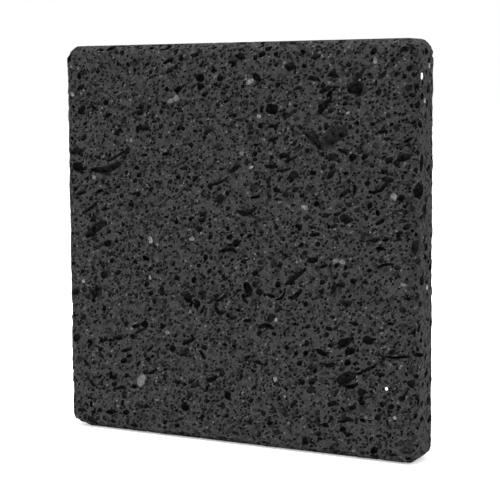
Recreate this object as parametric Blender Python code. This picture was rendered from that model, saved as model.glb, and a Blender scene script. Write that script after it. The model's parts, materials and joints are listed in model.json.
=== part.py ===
"""Basalt massage stone: a square slab of vesicular basalt, sawn flat, with rounded edges
and open gas cavities in its faces.

Metres, +Z up. The slab stands on one of its narrow sides. The origin is the middle of
that side, the broad front face looks along -Y, and the thickness runs along Y.
"""

import math
import random

import bmesh
import bpy
from mathutils import Euler, Matrix, Vector

# Driving dimensions of the slab.
SLAB_WIDTH = 0.100
SLAB_HEIGHT = 0.100
SLAB_THICKNESS = 0.013
EDGE_RADIUS = 0.003
EDGE_SEGMENTS = 4

# Gas cavities.
CAVITY_BURIAL = 0.3  # how far a bubble's middle lies under the face, as a share of its half depth
CAVITY_ROUGHNESS = 0.13  # how much a bubble's wall wanders in and out, as a share of its size
CAVITY_SPACING = 0.0105  # least distance between two scattered cavities
CAVITY_EDGE_MARGIN = 0.002  # plain stone kept between a scattered cavity and the rounded edge
REST_SPOT_RADIUS = 0.008  # plain stone kept around the middle of a face
BUBBLE_DETAIL = 2  # subdivisions of the ball that a cavity starts from
FLOW_TILT = 30.0  # degrees from level at which the lava drew its bubbles out
FLOW_TILT_SPREAD = 25.0
BACK_CAVITIES = 26
NARROW_SIDE_CAVITIES = 4
SCATTER_LENGTH = (0.0022, 0.0050)
SCATTER_WIDTH_SHARE = (0.45, 0.75)  # a bubble's width as a share of its length
SCATTER_DEPTH_SHARE = (0.5, 0.8)  # a cavity's depth as a share of its width
SCATTER_TRIES = 4000
SEED = 11

# Colour of the stone, as linear red, green and blue, and the sheen of its sawn faces.
BASALT_COLOUR = (0.045, 0.045, 0.046)
BASALT_ROUGHNESS = 0.85

# The large cavities of the front face. Across and up are shares of the slab's half width
# and half height, counted from the middle of the face, so the cavities stay on the face
# of a slab of another size. Then come length, width and depth in metres, and the tilt of
# the long axis from level in degrees.
FRONT_CAVITIES = (
    (0.46, 0.52, 0.0085, 0.0036, 0.0018, -40),
    (0.59, 0.53, 0.0095, 0.0042, 0.0020, 42),
    (0.70, 0.76, 0.0056, 0.0030, 0.0026, 35),
    (0.25, 0.68, 0.0028, 0.0026, 0.0026, 0),
    (0.53, 0.69, 0.0034, 0.0021, 0.0018, 45),
    (0.54, 0.77, 0.0037, 0.0015, 0.0014, 25),
    (-0.15, 0.81, 0.0028, 0.0022, 0.0018, 20),
    (0.17, 0.83, 0.0022, 0.0018, 0.0014, 10),
    (-0.33, 0.87, 0.0032, 0.0019, 0.0016, 25),
    (-0.74, 0.37, 0.0080, 0.0018, 0.0016, 5),
    (-0.66, 0.44, 0.0062, 0.0012, 0.0012, 24),
    (-0.90, 0.46, 0.0036, 0.0019, 0.0016, 15),
    (-0.90, 0.37, 0.0036, 0.0025, 0.0020, 20),
    (-0.90, 0.23, 0.0042, 0.0019, 0.0016, 20),
    (-0.79, 0.05, 0.0062, 0.0026, 0.0022, 35),
    (-0.80, -0.28, 0.0042, 0.0022, 0.0020, 35),
    (-0.05, 0.32, 0.0062, 0.0012, 0.0012, 18),
    (0.83, 0.32, 0.0052, 0.0018, 0.0016, 30),
    (0.63, 0.28, 0.0028, 0.0015, 0.0014, 45),
    (0.10, 0.17, 0.0046, 0.0016, 0.0015, 20),
    (0.38, -0.13, 0.0075, 0.0013, 0.0014, 36),
    (0.38, -0.23, 0.0038, 0.0017, 0.0016, 30),
    (0.10, -0.22, 0.0036, 0.0023, 0.0020, 80),
    (-0.05, -0.33, 0.0032, 0.0020, 0.0017, 15),
    (-0.18, -0.31, 0.0026, 0.0019, 0.0017, 70),
    (0.22, -0.39, 0.0036, 0.0018, 0.0016, 15),
    (-0.24, -0.50, 0.0048, 0.0013, 0.0014, 28),
    (-0.16, -0.57, 0.0028, 0.0014, 0.0014, 85),
    (-0.10, -0.67, 0.0047, 0.0015, 0.0014, 20),
    (-0.53, -0.46, 0.0042, 0.0013, 0.0013, 30),
    (-0.70, -0.72, 0.0028, 0.0016, 0.0015, 20),
    (0.65, -0.62, 0.0048, 0.0028, 0.0024, 25),
    (0.67, -0.48, 0.0036, 0.0018, 0.0017, 15),
    (0.77, -0.42, 0.0026, 0.0022, 0.0018, 20),
    (0.57, -0.74, 0.0028, 0.0016, 0.0014, 30),
    (0.90, -0.49, 0.0080, 0.0010, 0.0012, 0),
    (-0.26, -0.83, 0.0027, 0.0025, 0.0022, 40),
)

# The cavities of the right narrow side, in the same order: across runs from the front of
# the slab to its back.
RIGHT_CAVITIES = (
    (-0.45, 0.29, 0.0046, 0.0036, 0.0028, 60),
    (-0.20, 0.09, 0.0022, 0.0018, 0.0016, 30),
    (0.10, -0.58, 0.0024, 0.0017, 0.0016, 20),
)


def clear_scene():
    """Remove every object that is in the scene."""
    for leftover in list(bpy.data.objects):
        bpy.data.objects.remove(leftover, do_unlink=True)


def basalt_material():
    """Dense dark grey lava, matt where the saw left it."""
    material = bpy.data.materials.new("sawn_basalt")
    material.use_nodes = True
    shader = material.node_tree.nodes["Principled BSDF"]
    shader.inputs["Base Color"].default_value = (*BASALT_COLOUR, 1.0)
    shader.inputs["Roughness"].default_value = BASALT_ROUGHNESS
    shader.inputs["Metallic"].default_value = 0.0
    return material


def link_mesh_object(name, shape):
    """Put a finished bmesh into the scene as an object of its own."""
    mesh = bpy.data.meshes.new(name)
    shape.to_mesh(mesh)
    shape.free()
    body = bpy.data.objects.new(name, mesh)
    bpy.context.scene.collection.objects.link(body)
    return body


def slab_block():
    """The sawn block with its edges rounded, standing on the origin."""
    shape = bmesh.new()
    size = Matrix.Diagonal((SLAB_WIDTH, SLAB_THICKNESS, SLAB_HEIGHT, 1.0))
    place = Matrix.Translation((0.0, 0.0, SLAB_HEIGHT / 2))
    bmesh.ops.create_cube(shape, size=1.0, matrix=place @ size)
    block = link_mesh_object("basalt_slab", shape)
    rounding = block.modifiers.new("rounded_edges", "BEVEL")
    rounding.width = EDGE_RADIUS
    rounding.segments = EDGE_SEGMENTS
    rounding.limit_method = "NONE"
    return block


def broad_face(outward):
    """Frame of the front (outward -1) or back (+1) face: across, up and out of the stone."""
    across = Vector((-outward, 0.0, 0.0))
    out = Vector((0.0, outward, 0.0))
    middle = Vector((0.0, outward * SLAB_THICKNESS / 2, SLAB_HEIGHT / 2))
    return middle, across, Vector((0.0, 0.0, 1.0)), out, SLAB_WIDTH / 2, SLAB_HEIGHT / 2


def narrow_side(outward):
    """Frame of the right (outward +1) or left (-1) narrow side."""
    across = Vector((0.0, outward, 0.0))
    out = Vector((outward, 0.0, 0.0))
    middle = Vector((outward * SLAB_WIDTH / 2, 0.0, SLAB_HEIGHT / 2))
    return middle, across, Vector((0.0, 0.0, 1.0)), out, SLAB_THICKNESS / 2, SLAB_HEIGHT / 2


def top_side():
    """Frame of the narrow side on top: its long way is across."""
    middle = Vector((0.0, 0.0, SLAB_HEIGHT))
    across = Vector((1.0, 0.0, 0.0))
    up = Vector((0.0, 1.0, 0.0))
    return middle, across, up, Vector((0.0, 0.0, 1.0)), SLAB_WIDTH / 2, SLAB_THICKNESS / 2


def add_bubble(shape, face, cavity, dice):
    """Add one gas bubble to a cutter, its middle just under the face that it opens in."""
    middle, across, up, out, half_across, half_up = face
    share_across, share_up, length, width, depth, tilt = cavity
    half_depth = depth / (1.0 + CAVITY_BURIAL)
    centre = middle + across * (share_across * half_across) + up * (share_up * half_up)
    centre -= out * (half_depth * CAVITY_BURIAL)
    to_face = Matrix((across, up, out)).transposed().to_4x4()
    turn = Matrix.Rotation(math.radians(tilt), 4, "Z")
    size = Matrix.Diagonal((length / 2, width / 2, half_depth, 1.0))
    tumble = Euler([dice.uniform(0.0, math.tau) for _ in range(3)]).to_matrix().to_4x4()
    ball = bmesh.ops.create_icosphere(shape, subdivisions=BUBBLE_DETAIL, radius=1.0, matrix=tumble)
    for point in ball["verts"]:
        point.co *= 1.0 + dice.uniform(-CAVITY_ROUGHNESS, CAVITY_ROUGHNESS)
    placed = Matrix.Translation(centre) @ to_face @ turn @ size
    bmesh.ops.transform(shape, matrix=placed, verts=ball["verts"])


def scattered_cavities(face, count, dice):
    """Choose places and sizes for a number of cavities that keep clear of each other."""
    half_across, half_up = face[4], face[5]
    chosen = []
    for _ in range(SCATTER_TRIES):
        if len(chosen) == count:
            break
        length = dice.uniform(*SCATTER_LENGTH)
        width = length * dice.uniform(*SCATTER_WIDTH_SHARE)
        depth = width * dice.uniform(*SCATTER_DEPTH_SHARE)
        inset = EDGE_RADIUS + CAVITY_EDGE_MARGIN
        room_across = max(half_across - inset, 0.0)
        room_up = max(half_up - inset, 0.0)
        spot = Vector((dice.uniform(-room_across, room_across), dice.uniform(-room_up, room_up)))
        tilt = FLOW_TILT + dice.uniform(-FLOW_TILT_SPREAD, FLOW_TILT_SPREAD)
        crowded = any((spot - other[0]).length < CAVITY_SPACING for other in chosen)
        if spot.length > REST_SPOT_RADIUS and not crowded:
            chosen.append((spot, (length, width, depth, tilt)))
    return [(spot.x / half_across, spot.y / half_up, *size) for spot, size in chosen]


def cut_cavities(block, name, face, cavities, dice):
    """Cut one face's cavities out of the block."""
    shape = bmesh.new()
    for cavity in cavities:
        add_bubble(shape, face, cavity, dice)
    bubbles = link_mesh_object(name, shape)
    bubbles.display_type = "WIRE"
    bubbles.hide_render = True
    cut = block.modifiers.new(name, "BOOLEAN")
    cut.operation = "DIFFERENCE"
    cut.object = bubbles
    cut.use_self = True


def build():
    """Model the stone: one block, and the cavities of each face that shows."""
    clear_scene()
    dice = random.Random(SEED)
    block = slab_block()
    block.data.materials.append(basalt_material())
    front, back = broad_face(-1.0), broad_face(1.0)
    right, left, top = narrow_side(1.0), narrow_side(-1.0), top_side()
    cut_cavities(block, "front_bubbles", front, FRONT_CAVITIES, dice)
    cut_cavities(block, "right_bubbles", right, RIGHT_CAVITIES, dice)
    for name, face, count in (
        ("back_bubbles", back, BACK_CAVITIES),
        ("left_bubbles", left, NARROW_SIDE_CAVITIES),
        ("top_bubbles", top, NARROW_SIDE_CAVITIES),
    ):
        cut_cavities(block, name, face, scattered_cavities(face, count, dice), dice)


build()
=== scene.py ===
# %% [markdown]
# # A basalt massage stone
#
# The object is one square slab of vesicular basalt: lava that froze while gas was still
# bubbling through it. It was sawn to a slab, and its edges were rounded by tumbling. The
# looks of it are its holes. The saw opened thousands of gas bubbles, drawn out in the
# direction in which the lava was flowing, and a few torn cavities. In between, the rock is
# dark grey, with pale feldspar crystals here and there.
#
# The order below is: frame, camera and light, block, torn cavities, crystals, bubbles,
# materials.

# %% The fixed frame
import json
import math
import random

import bpy
import numpy as np
from mathutils import Matrix, Vector, noise

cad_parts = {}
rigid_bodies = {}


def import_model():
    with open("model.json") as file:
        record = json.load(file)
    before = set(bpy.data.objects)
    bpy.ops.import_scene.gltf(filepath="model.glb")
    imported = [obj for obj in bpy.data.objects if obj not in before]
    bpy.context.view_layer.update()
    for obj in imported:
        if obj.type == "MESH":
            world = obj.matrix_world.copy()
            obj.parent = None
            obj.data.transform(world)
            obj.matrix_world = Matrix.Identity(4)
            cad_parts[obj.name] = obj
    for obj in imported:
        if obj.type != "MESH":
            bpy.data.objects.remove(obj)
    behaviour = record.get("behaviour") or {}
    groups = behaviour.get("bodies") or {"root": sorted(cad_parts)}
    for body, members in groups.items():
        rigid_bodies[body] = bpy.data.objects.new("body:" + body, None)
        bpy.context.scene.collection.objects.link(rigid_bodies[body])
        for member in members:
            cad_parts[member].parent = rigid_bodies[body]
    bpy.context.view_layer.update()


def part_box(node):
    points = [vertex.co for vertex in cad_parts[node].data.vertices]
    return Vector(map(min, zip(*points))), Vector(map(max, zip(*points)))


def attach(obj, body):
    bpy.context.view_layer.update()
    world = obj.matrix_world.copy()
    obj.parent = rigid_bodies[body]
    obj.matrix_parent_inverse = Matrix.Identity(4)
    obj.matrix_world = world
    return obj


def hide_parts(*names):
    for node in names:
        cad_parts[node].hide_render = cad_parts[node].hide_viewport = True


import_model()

# %% [markdown]
# ## Sizes
#
# The slab's box comes from the frame, so the stone always fits its CAD model. The other
# sizes are those of a tumbled edge and of real gas bubbles, in millimetres.

# %% Sizes
MM = 0.001
LOW, HIGH = (Vector(corner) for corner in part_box("basalt_slab"))
SIZE = HIGH - LOW
MIDDLE = (LOW + HIGH) / 2
EDGE_RADIUS = 3.0 * MM
EDGE_STEPS = 4
FLOW_TILT = math.radians(28)  # how steeply the lava's flow climbs across the front face
SEED = 20
print("slab, in mm:", [round(side / MM, 1) for side in SIZE])

# %% [markdown]
# ## Small helpers
#
# An operator works on what is selected, so every operator below starts from a clean
# selection. `take` selects one object and makes it the active one.

# %% Helpers for operators
def take(*objects):
    """Select these objects only, and make the first one active."""
    bpy.ops.object.select_all(action="DESELECT")
    for item in objects:
        item.select_set(True)
    bpy.context.view_layer.objects.active = objects[0]


def apply_modifiers(item):
    """Apply every modifier of an object, in order."""
    take(item)
    for modifier in list(item.modifiers):
        bpy.ops.object.modifier_apply(modifier=modifier.name)


def apply_place(item):
    """Move an object's place, turn and scale into its mesh."""
    take(item)
    bpy.ops.object.transform_apply(location=True, rotation=True, scale=True)


def boolean(item, cutter, operation):
    """Cut an object by another one."""
    cut = item.modifiers.new("cut", "BOOLEAN")
    cut.operation = operation
    cut.solver = "MANIFOLD"
    cut.object = cutter
    apply_modifiers(item)


def discard(item):
    """Remove a cutter that has done its work."""
    mesh = item.data
    bpy.data.objects.remove(item, do_unlink=True)
    bpy.data.meshes.remove(mesh)


def triangles(item):
    """Count the triangles that a mesh is drawn with."""
    item.data.calc_loop_triangles()
    return len(item.data.loop_triangles)


# %% [markdown]
# ## Camera and studio
#
# The stone stands on its narrow side, turned a third of a right angle, and is seen from a
# little above its middle with a long lens, as in a catalogue. The floor and the world are
# plain and pale. One soft box stands left of the camera, a second one behind on the right
# lights the narrow side, and a third hangs over the top edge. The rounded edge that faces
# the camera gets the least of all three, so it stays a little darker than the faces beside
# it.

# %% Camera
CAMERA_AZIMUTH = math.radians(30.1)
CAMERA_ELEVATION = math.radians(5.6)
CAMERA_ROLL = math.radians(-0.37)
CAMERA_DISTANCE = 0.3983
CAMERA_LENS = 114.7
AIM = MIDDLE + Vector((2.3 * MM, 0.0, -1.5 * MM))


def direction(azimuth, elevation):
    """The unit vector from the stone towards a place seen at this azimuth and elevation."""
    level = math.cos(elevation)
    return Vector((math.sin(azimuth) * level, -math.cos(azimuth) * level, math.sin(elevation)))


def look_at(item, target, roll=0.0):
    """Turn a camera or a light so that it looks at a point."""
    towards = (Vector(target) - item.location).to_track_quat("-Z", "Y")
    item.rotation_euler = (towards.to_matrix() @ Matrix.Rotation(roll, 3, "Z")).to_euler()


bpy.ops.object.camera_add(location=AIM + direction(CAMERA_AZIMUTH, CAMERA_ELEVATION) * CAMERA_DISTANCE)
camera = bpy.context.object
camera.name = "camera"
camera.data.lens = CAMERA_LENS
camera.data.sensor_width = 36.0
camera.data.clip_start = 0.01
look_at(camera, AIM, CAMERA_ROLL)
bpy.context.scene.camera = camera
print("camera at", [round(v, 3) for v in camera.location])


# %% Studio
def soft_box(name, azimuth, elevation, distance, side, power):
    """Hang one square soft box that looks at the stone."""
    place = MIDDLE + direction(math.radians(azimuth), math.radians(elevation)) * distance
    bpy.ops.object.light_add(type="AREA", location=place)
    light = bpy.context.object
    light.name = name
    light.data.shape = "SQUARE"
    light.data.size = side
    light.data.energy = power
    look_at(light, MIDDLE)
    return light


soft_box("left_soft_box", -55, 35, 0.9, 0.3, 2.95)
soft_box("right_soft_box", 150, 20, 0.9, 0.6, 3.4)
soft_box("top_soft_box", 0, 82, 0.6, 0.18, 7.2)

world = bpy.data.worlds.new("studio")
bpy.context.scene.world = world
world.use_nodes = True
world.node_tree.nodes["Background"].inputs["Color"].default_value = (1.0, 1.0, 1.0, 1.0)
world.node_tree.nodes["Background"].inputs["Strength"].default_value = 1.0
bpy.context.scene.view_settings.view_transform = "Standard"

bpy.ops.mesh.primitive_plane_add(size=8.0, location=(0.0, 0.0, LOW.z))
floor = bpy.context.object
floor.name = "floor"

# %% [markdown]
# ## The sawn block
#
# A cube at the CAD slab's size, with all its edges rounded by a Bevel. Tumbling knocks
# small chips off an edge and wears a corner down further, so the long edges are cut into
# short steps and worn inwards by a smooth noise. The flat faces then go back to one face
# each. The lower left corner was knocked, so points past a slanting plane are laid on it.
# The holes come out of this block, so it has to stay one closed skin.

# %% Block
LONG_EDGE = 20.0 * MM
WEAR_CUTS = 93  # cuts of a long edge, into steps of 1 mm
EDGE_WEAR = 0.75 * MM  # the deepest chip of an edge
CHIP_LENGTH = 1.9 * MM
WAVE_LENGTH = 8.0 * MM  # of the slow rise and fall of an edge
CORNER_WEAR = 0.8 * MM  # extra wear of the two corners on the left
KNOCK_ALONG = 6.5 * MM  # what the knocked corner lost along the bottom
KNOCK_UP = 2.4 * MM  # and up the side
FLAT = math.radians(0.05)  # faces that turn by less than this are one flat face


def cut_long_edges(block):
    """Cut the block's long edges into short steps."""
    take(block)
    bpy.ops.object.mode_set(mode="EDIT")
    bpy.ops.mesh.select_mode(type="EDGE")
    bpy.ops.mesh.select_all(action="DESELECT")
    bpy.ops.object.mode_set(mode="OBJECT")
    corners = block.data.vertices
    for edge in block.data.edges:
        start, end = (corners[i].co for i in edge.vertices)
        edge.select = (start - end).length > LONG_EDGE
    bpy.ops.object.mode_set(mode="EDIT")
    bpy.ops.mesh.subdivide(number_cuts=WEAR_CUTS)
    bpy.ops.object.mode_set(mode="OBJECT")


def worn_place(place):
    """Where a point of the block goes as the edges wear and the corner is knocked off."""
    core = SIZE / 2 - Vector((EDGE_RADIUS,) * 3)
    centred = place - MIDDLE
    outwards = Vector([c - min(max(c, -k), k) for c, k in zip(centred, core)]).normalized()
    on_edge = min(1.0, 5.0 * (1.0 - max(abs(part) for part in outwards)))
    chips = 0.45 + 0.8 * noise.noise(place / CHIP_LENGTH) + 0.5 * noise.noise(place / WAVE_LENGTH)
    corner = max(0.0, -2.0 * outwards.x * abs(outwards.z))
    worn = place - outwards * (on_edge * EDGE_WEAR * min(max(chips, 0.0), 1.0) + CORNER_WEAR * corner)
    knock = Vector((-KNOCK_UP, 0.0, -KNOCK_ALONG)).normalized()
    past = (worn - Vector((LOW.x + KNOCK_ALONG, MIDDLE.y, LOW.z))).dot(knock)
    return worn - knock * max(past, 0.0)


def sawn_block(name):
    """A block of the slab's size with rounded and worn edges."""
    bpy.ops.object.select_all(action="DESELECT")
    bpy.ops.mesh.primitive_cube_add(size=1.0, location=MIDDLE, scale=SIZE)
    block = bpy.context.object
    block.name = name
    apply_place(block)
    rounding = block.modifiers.new("tumbled_edges", "BEVEL")
    rounding.width = EDGE_RADIUS
    rounding.segments = EDGE_STEPS
    rounding.limit_method = "NONE"
    apply_modifiers(block)
    cut_long_edges(block)
    for corner in block.data.vertices:
        corner.co = worn_place(corner.co)
    bpy.ops.object.mode_set(mode="EDIT")
    bpy.ops.mesh.select_all(action="SELECT")
    bpy.ops.mesh.dissolve_limited(angle_limit=FLAT)
    bpy.ops.object.mode_set(mode="OBJECT")
    return block


stone = sawn_block("basalt_stone")
print("block:", triangles(stone), "triangles")

# %% [markdown]
# ## Cutting
#
# Every hole is the difference of the stone and a closed shape. The holes are cut with the
# Boolean modifier's Manifold solver, which is quick enough for thousands of bubbles at
# once, and asks that every cutter is closed and that the bubbles of one cutter keep clear
# of each other. The cutters carry another material slot than the block, so the walls that
# they leave are told apart from its faces.

# %% Cutting tools
FACE_SLOT, TORN_SLOT, BUBBLE_SLOT = range(3)


def slot_all(item, index):
    """Give every face of a mesh the same material slot."""
    item.data.polygons.foreach_set("material_index", [index] * len(item.data.polygons))


def same_slots(item):
    """Give a mesh the three empty slots that the stone has: face, torn wall, bubble wall."""
    while len(item.data.materials) < 3:
        item.data.materials.append(None)


same_slots(stone)
slot_all(stone, FACE_SLOT)

# %% [markdown]
# ## Torn cavities
#
# Where bubbles ran into each other, or the stiffening lava tore, the saw opened larger and
# longer cavities. Each one is a ball whose points are laid along a short path in the face:
# the ball's own roundness tapers both ends. Width and depth, then the path's points, are
# in millimetres from the middle of the face.

# %% Torn cavities of the front face
UPPER_RIGHT_CAVITIES = (
    (2.7, 1.4, (20.4, 28.6), (23.0, 27.0), (24.8, 25.4), (26.4, 23.2)),
    (4.4, 1.3, (24.4, 24.4), (27.4, 26.0), (30.4, 27.8), (34.4, 29.8)),
    (3.8, 2.2, (32.2, 38.0), (35.0, 38.6), (37.9, 38.4)),
    (1.1, 1.0, (34.4, 39.8), (36.0, 41.6), (37.6, 43.4)),
    (2.8, 2.4, (10.6, 33.6), (14.2, 33.8)),
    (1.9, 1.9, (25.0, 32.8), (26.4, 34.2), (28.2, 36.0)),
    (1.4, 1.2, (25.2, 37.4), (27.0, 38.3), (28.8, 39.0)),
    (1.8, 1.5, (7.2, 42.0), (9.4, 40.6)),
    (1.9, 1.3, (16.4, 43.0), (18.6, 44.6)),
    (1.4, 1.1, (22.2, 41.2), (25.4, 40.6)),
    (1.4, 0.9, (27.4, 41.4), (29.8, 42.6)),
    (1.3, 0.8, (23.0, 45.6), (25.8, 46.4)),
    (1.6, 1.3, (14.2, 22.2), (16.6, 22.8)),
    (1.0, 0.9, (15.8, 20.9), (17.6, 21.6), (19.6, 22.6)),
    (1.4, 1.3, (10.6, 19.7), (14.2, 19.9)),
    (0.9, 0.7, (14.4, 18.6), (17.8, 19.5)),
    (1.5, 1.3, (0.6, 18.0), (2.0, 19.2), (3.4, 20.0)),
    (2.1, 1.0, (27.4, 22.2), (30.6, 22.6)),
    (1.1, 1.0, (30.2, 24.2), (32.6, 23.2)),
    (1.4, 1.2, (36.3, 22.2), (38.1, 22.8)),
    (1.3, 1.3, (42.6, 21.0), (44.6, 22.4)),
    (1.8, 1.4, (45.4, 21.9), (48.8, 22.9)),
    (1.4, 1.2, (22.6, 18.4), (24.6, 18.6)),
    (1.2, 1.1, (30.4, 12.8), (32.0, 13.8), (33.4, 15.0)),
    (1.2, 1.2, (38.2, 14.1), (41.2, 14.7), (42.6, 16.2), (43.8, 17.6)),
    (1.7, 1.3, (45.8, 12.8), (47.6, 13.4)),
    (1.0, 1.0, (6.2, 12.0), (9.2, 12.6)),
    (1.6, 1.4, (23.7, 10.8), (25.3, 11.4)),
    (1.6, 1.2, (2.2, 8.9), (5.0, 8.0), (8.2, 10.0)),
    (1.5, 1.3, (31.7, 6.7), (34.3, 7.9)),
    (1.4, 1.2, (47.0, 5.8), (49.4, 7.4)),
    (1.2, 1.2, (22.5, 3.5), (25.5, 4.0)),
    (1.3, 1.2, (38.8, 2.8), (41.2, 3.3)),
    (1.2, 1.2, (40.0, 1.0), (42.5, 1.2)),
    (1.2, 1.0, (40.0, 6.6), (42.4, 8.0)),
    (1.2, 1.1, (40.6, 28.2), (42.9, 28.8)),
    (1.2, 1.1, (11.3, 26.0), (14.2, 26.8)),
)
UPPER_LEFT_CAVITIES = (
    (2.1, 1.6, (-41.6, 18.3), (-38.0, 18.0), (-34.6, 18.8), (-32.0, 20.1)),
    (0.9, 0.9, (-36.2, 20.3), (-33.0, 21.8), (-29.4, 23.9)),
    (1.8, 1.4, (-48.0, 22.0), (-45.6, 22.9), (-43.8, 21.4)),
    (2.5, 1.9, (-47.4, 18.6), (-43.9, 19.0)),
    (1.7, 1.0, (-47.2, 11.3), (-45.0, 11.8), (-42.4, 12.6)),
    (1.0, 1.0, (-44.6, 6.4), (-42.0, 8.0), (-39.2, 10.0)),
    (2.4, 1.9, (-43.4, 0.4), (-41.4, 2.0), (-39.0, 3.6), (-36.4, 4.3)),
    (1.8, 1.6, (-37.7, -1.3), (-35.2, -0.5)),
    (2.2, 1.9, (-9.1, 41.6), (-6.6, 41.2)),
    (1.7, 1.5, (-8.7, 38.5), (-7.0, 39.7)),
    (1.3, 1.2, (-7.6, 37.0), (-5.4, 37.8)),
    (1.8, 1.0, (-17.9, 42.8), (-15.0, 44.0)),
    (1.2, 1.1, (-18.8, 45.0), (-15.6, 46.4)),
    (1.7, 1.3, (-3.0, 41.4), (-1.2, 41.0)),
    (1.4, 1.0, (-10.6, 46.8), (-8.2, 47.2)),
    (1.4, 1.2, (-33.9, 27.1), (-31.5, 28.9)),
    (1.4, 1.0, (-44.4, 25.6), (-42.6, 27.0)),
    (1.7, 1.3, (-44.4, 33.8), (-42.8, 34.4)),
    (1.1, 1.2, (-41.0, 34.6), (-39.6, 33.6)),
    (1.2, 1.2, (-37.0, 31.4), (-34.9, 32.7)),
    (1.6, 1.2, (-27.0, 32.7), (-24.7, 32.9)),
    (1.4, 1.2, (-26.0, 28.6), (-22.8, 29.0)),
    (1.2, 1.3, (-14.7, 28.2), (-13.3, 29.9)),
    (1.2, 1.2, (-44.6, 38.8), (-43.0, 40.0)),
    (1.4, 1.1, (-27.2, 16.6), (-25.7, 17.4)),
    (1.2, 1.1, (-19.4, 22.2), (-17.1, 22.8)),
    (0.9, 1.0, (-5.2, 14.8), (-2.4, 15.7), (0.4, 17.2)),
    (1.5, 1.2, (-5.9, 14.3), (-4.6, 15.0)),
    (1.4, 1.2, (-15.4, 16.6), (-13.9, 16.9)),
    (1.2, 1.1, (-40.0, 12.0), (-37.6, 13.1)),
    (1.6, 1.3, (-9.2, 3.3), (-7.5, 4.2)),
    (1.4, 1.2, (-8.8, 5.8), (-6.5, 6.4)),
    (1.5, 1.1, (-16.0, 5.2), (-14.5, 5.6)),
    (1.3, 1.2, (-29.8, 9.3), (-28.1, 9.7)),
)
LOWER_LEFT_CAVITIES = (
    (2.3, 1.3, (-42.3, -14.9), (-40.4, -14.0), (-38.0, -12.3)),
    (1.4, 1.3, (-2.8, -1.6), (0.4, -0.7), (2.6, -1.8)),
    (0.9, 1.0, (-5.4, -13.2), (-3.6, -13.9), (-2.0, -13.2), (-0.6, -11.6)),
    (1.5, 1.4, (-4.1, -15.3), (-3.0, -16.9), (-1.3, -16.6)),
    (2.0, 1.6, (-9.9, -16.3), (-8.9, -14.1)),
    (1.3, 1.2, (-9.1, -12.5), (-6.9, -11.8)),
    (1.2, 1.3, (-14.0, -25.7), (-12.0, -24.7), (-9.7, -23.7)),
    (2.0, 0.9, (-15.1, -28.5), (-13.2, -27.4), (-11.7, -26.5)),
    (1.1, 1.3, (-8.6, -26.7), (-7.3, -28.9)),
    (1.6, 1.4, (-7.0, -34.2), (-5.2, -33.9), (-3.6, -32.8)),
    (1.3, 1.1, (-29.2, -22.3), (-26.4, -21.2)),
    (0.9, 1.0, (-28.5, -23.9), (-26.4, -22.9), (-24.5, -22.2)),
    (1.4, 1.3, (-29.8, -25.1), (-28.7, -24.1)),
    (1.2, 1.2, (-35.3, -25.5), (-32.3, -25.4)),
    (1.2, 1.1, (-38.1, -26.7), (-37.0, -25.3)),
    (1.1, 1.1, (-43.4, -28.7), (-41.7, -26.9)),
    (1.2, 1.0, (-32.8, -28.9), (-29.3, -27.8)),
    (1.0, 1.1, (-24.6, -28.3), (-22.9, -26.8)),
    (1.8, 1.2, (-17.7, -27.5), (-16.1, -26.3)),
    (1.6, 1.4, (-33.0, -31.8), (-30.9, -30.7)),
    (1.0, 1.0, (-44.7, -31.9), (-43.1, -33.5)),
    (1.1, 1.1, (-24.4, -34.1), (-21.4, -32.5)),
    (1.4, 1.3, (-36.7, -36.1), (-34.0, -35.5)),
    (1.1, 1.2, (-42.9, -37.1), (-41.3, -38.9)),
    (1.3, 1.2, (-29.7, -38.0), (-27.9, -37.5)),
    (1.0, 1.0, (-34.9, -38.9), (-31.5, -37.9)),
    (1.2, 1.1, (-15.9, -36.0), (-14.5, -35.0)),
    (2.5, 2.2, (-14.3, -42.3), (-12.3, -40.9)),
    (1.1, 1.1, (-7.1, -36.9), (-6.3, -35.3)),
    (1.2, 1.1, (-16.5, -46.9), (-14.9, -46.4)),
    (1.2, 1.0, (-46.9, -45.6), (-44.5, -45.3)),
    (1.4, 1.2, (-24.1, -13.5), (-22.5, -12.9)),
    (1.5, 1.2, (-20.3, -13.5), (-19.1, -12.3)),
    (1.3, 1.2, (-13.5, -13.3), (-11.7, -12.1)),
    (1.3, 1.0, (-36.3, -3.9), (-34.9, -3.3)),
)
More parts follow.
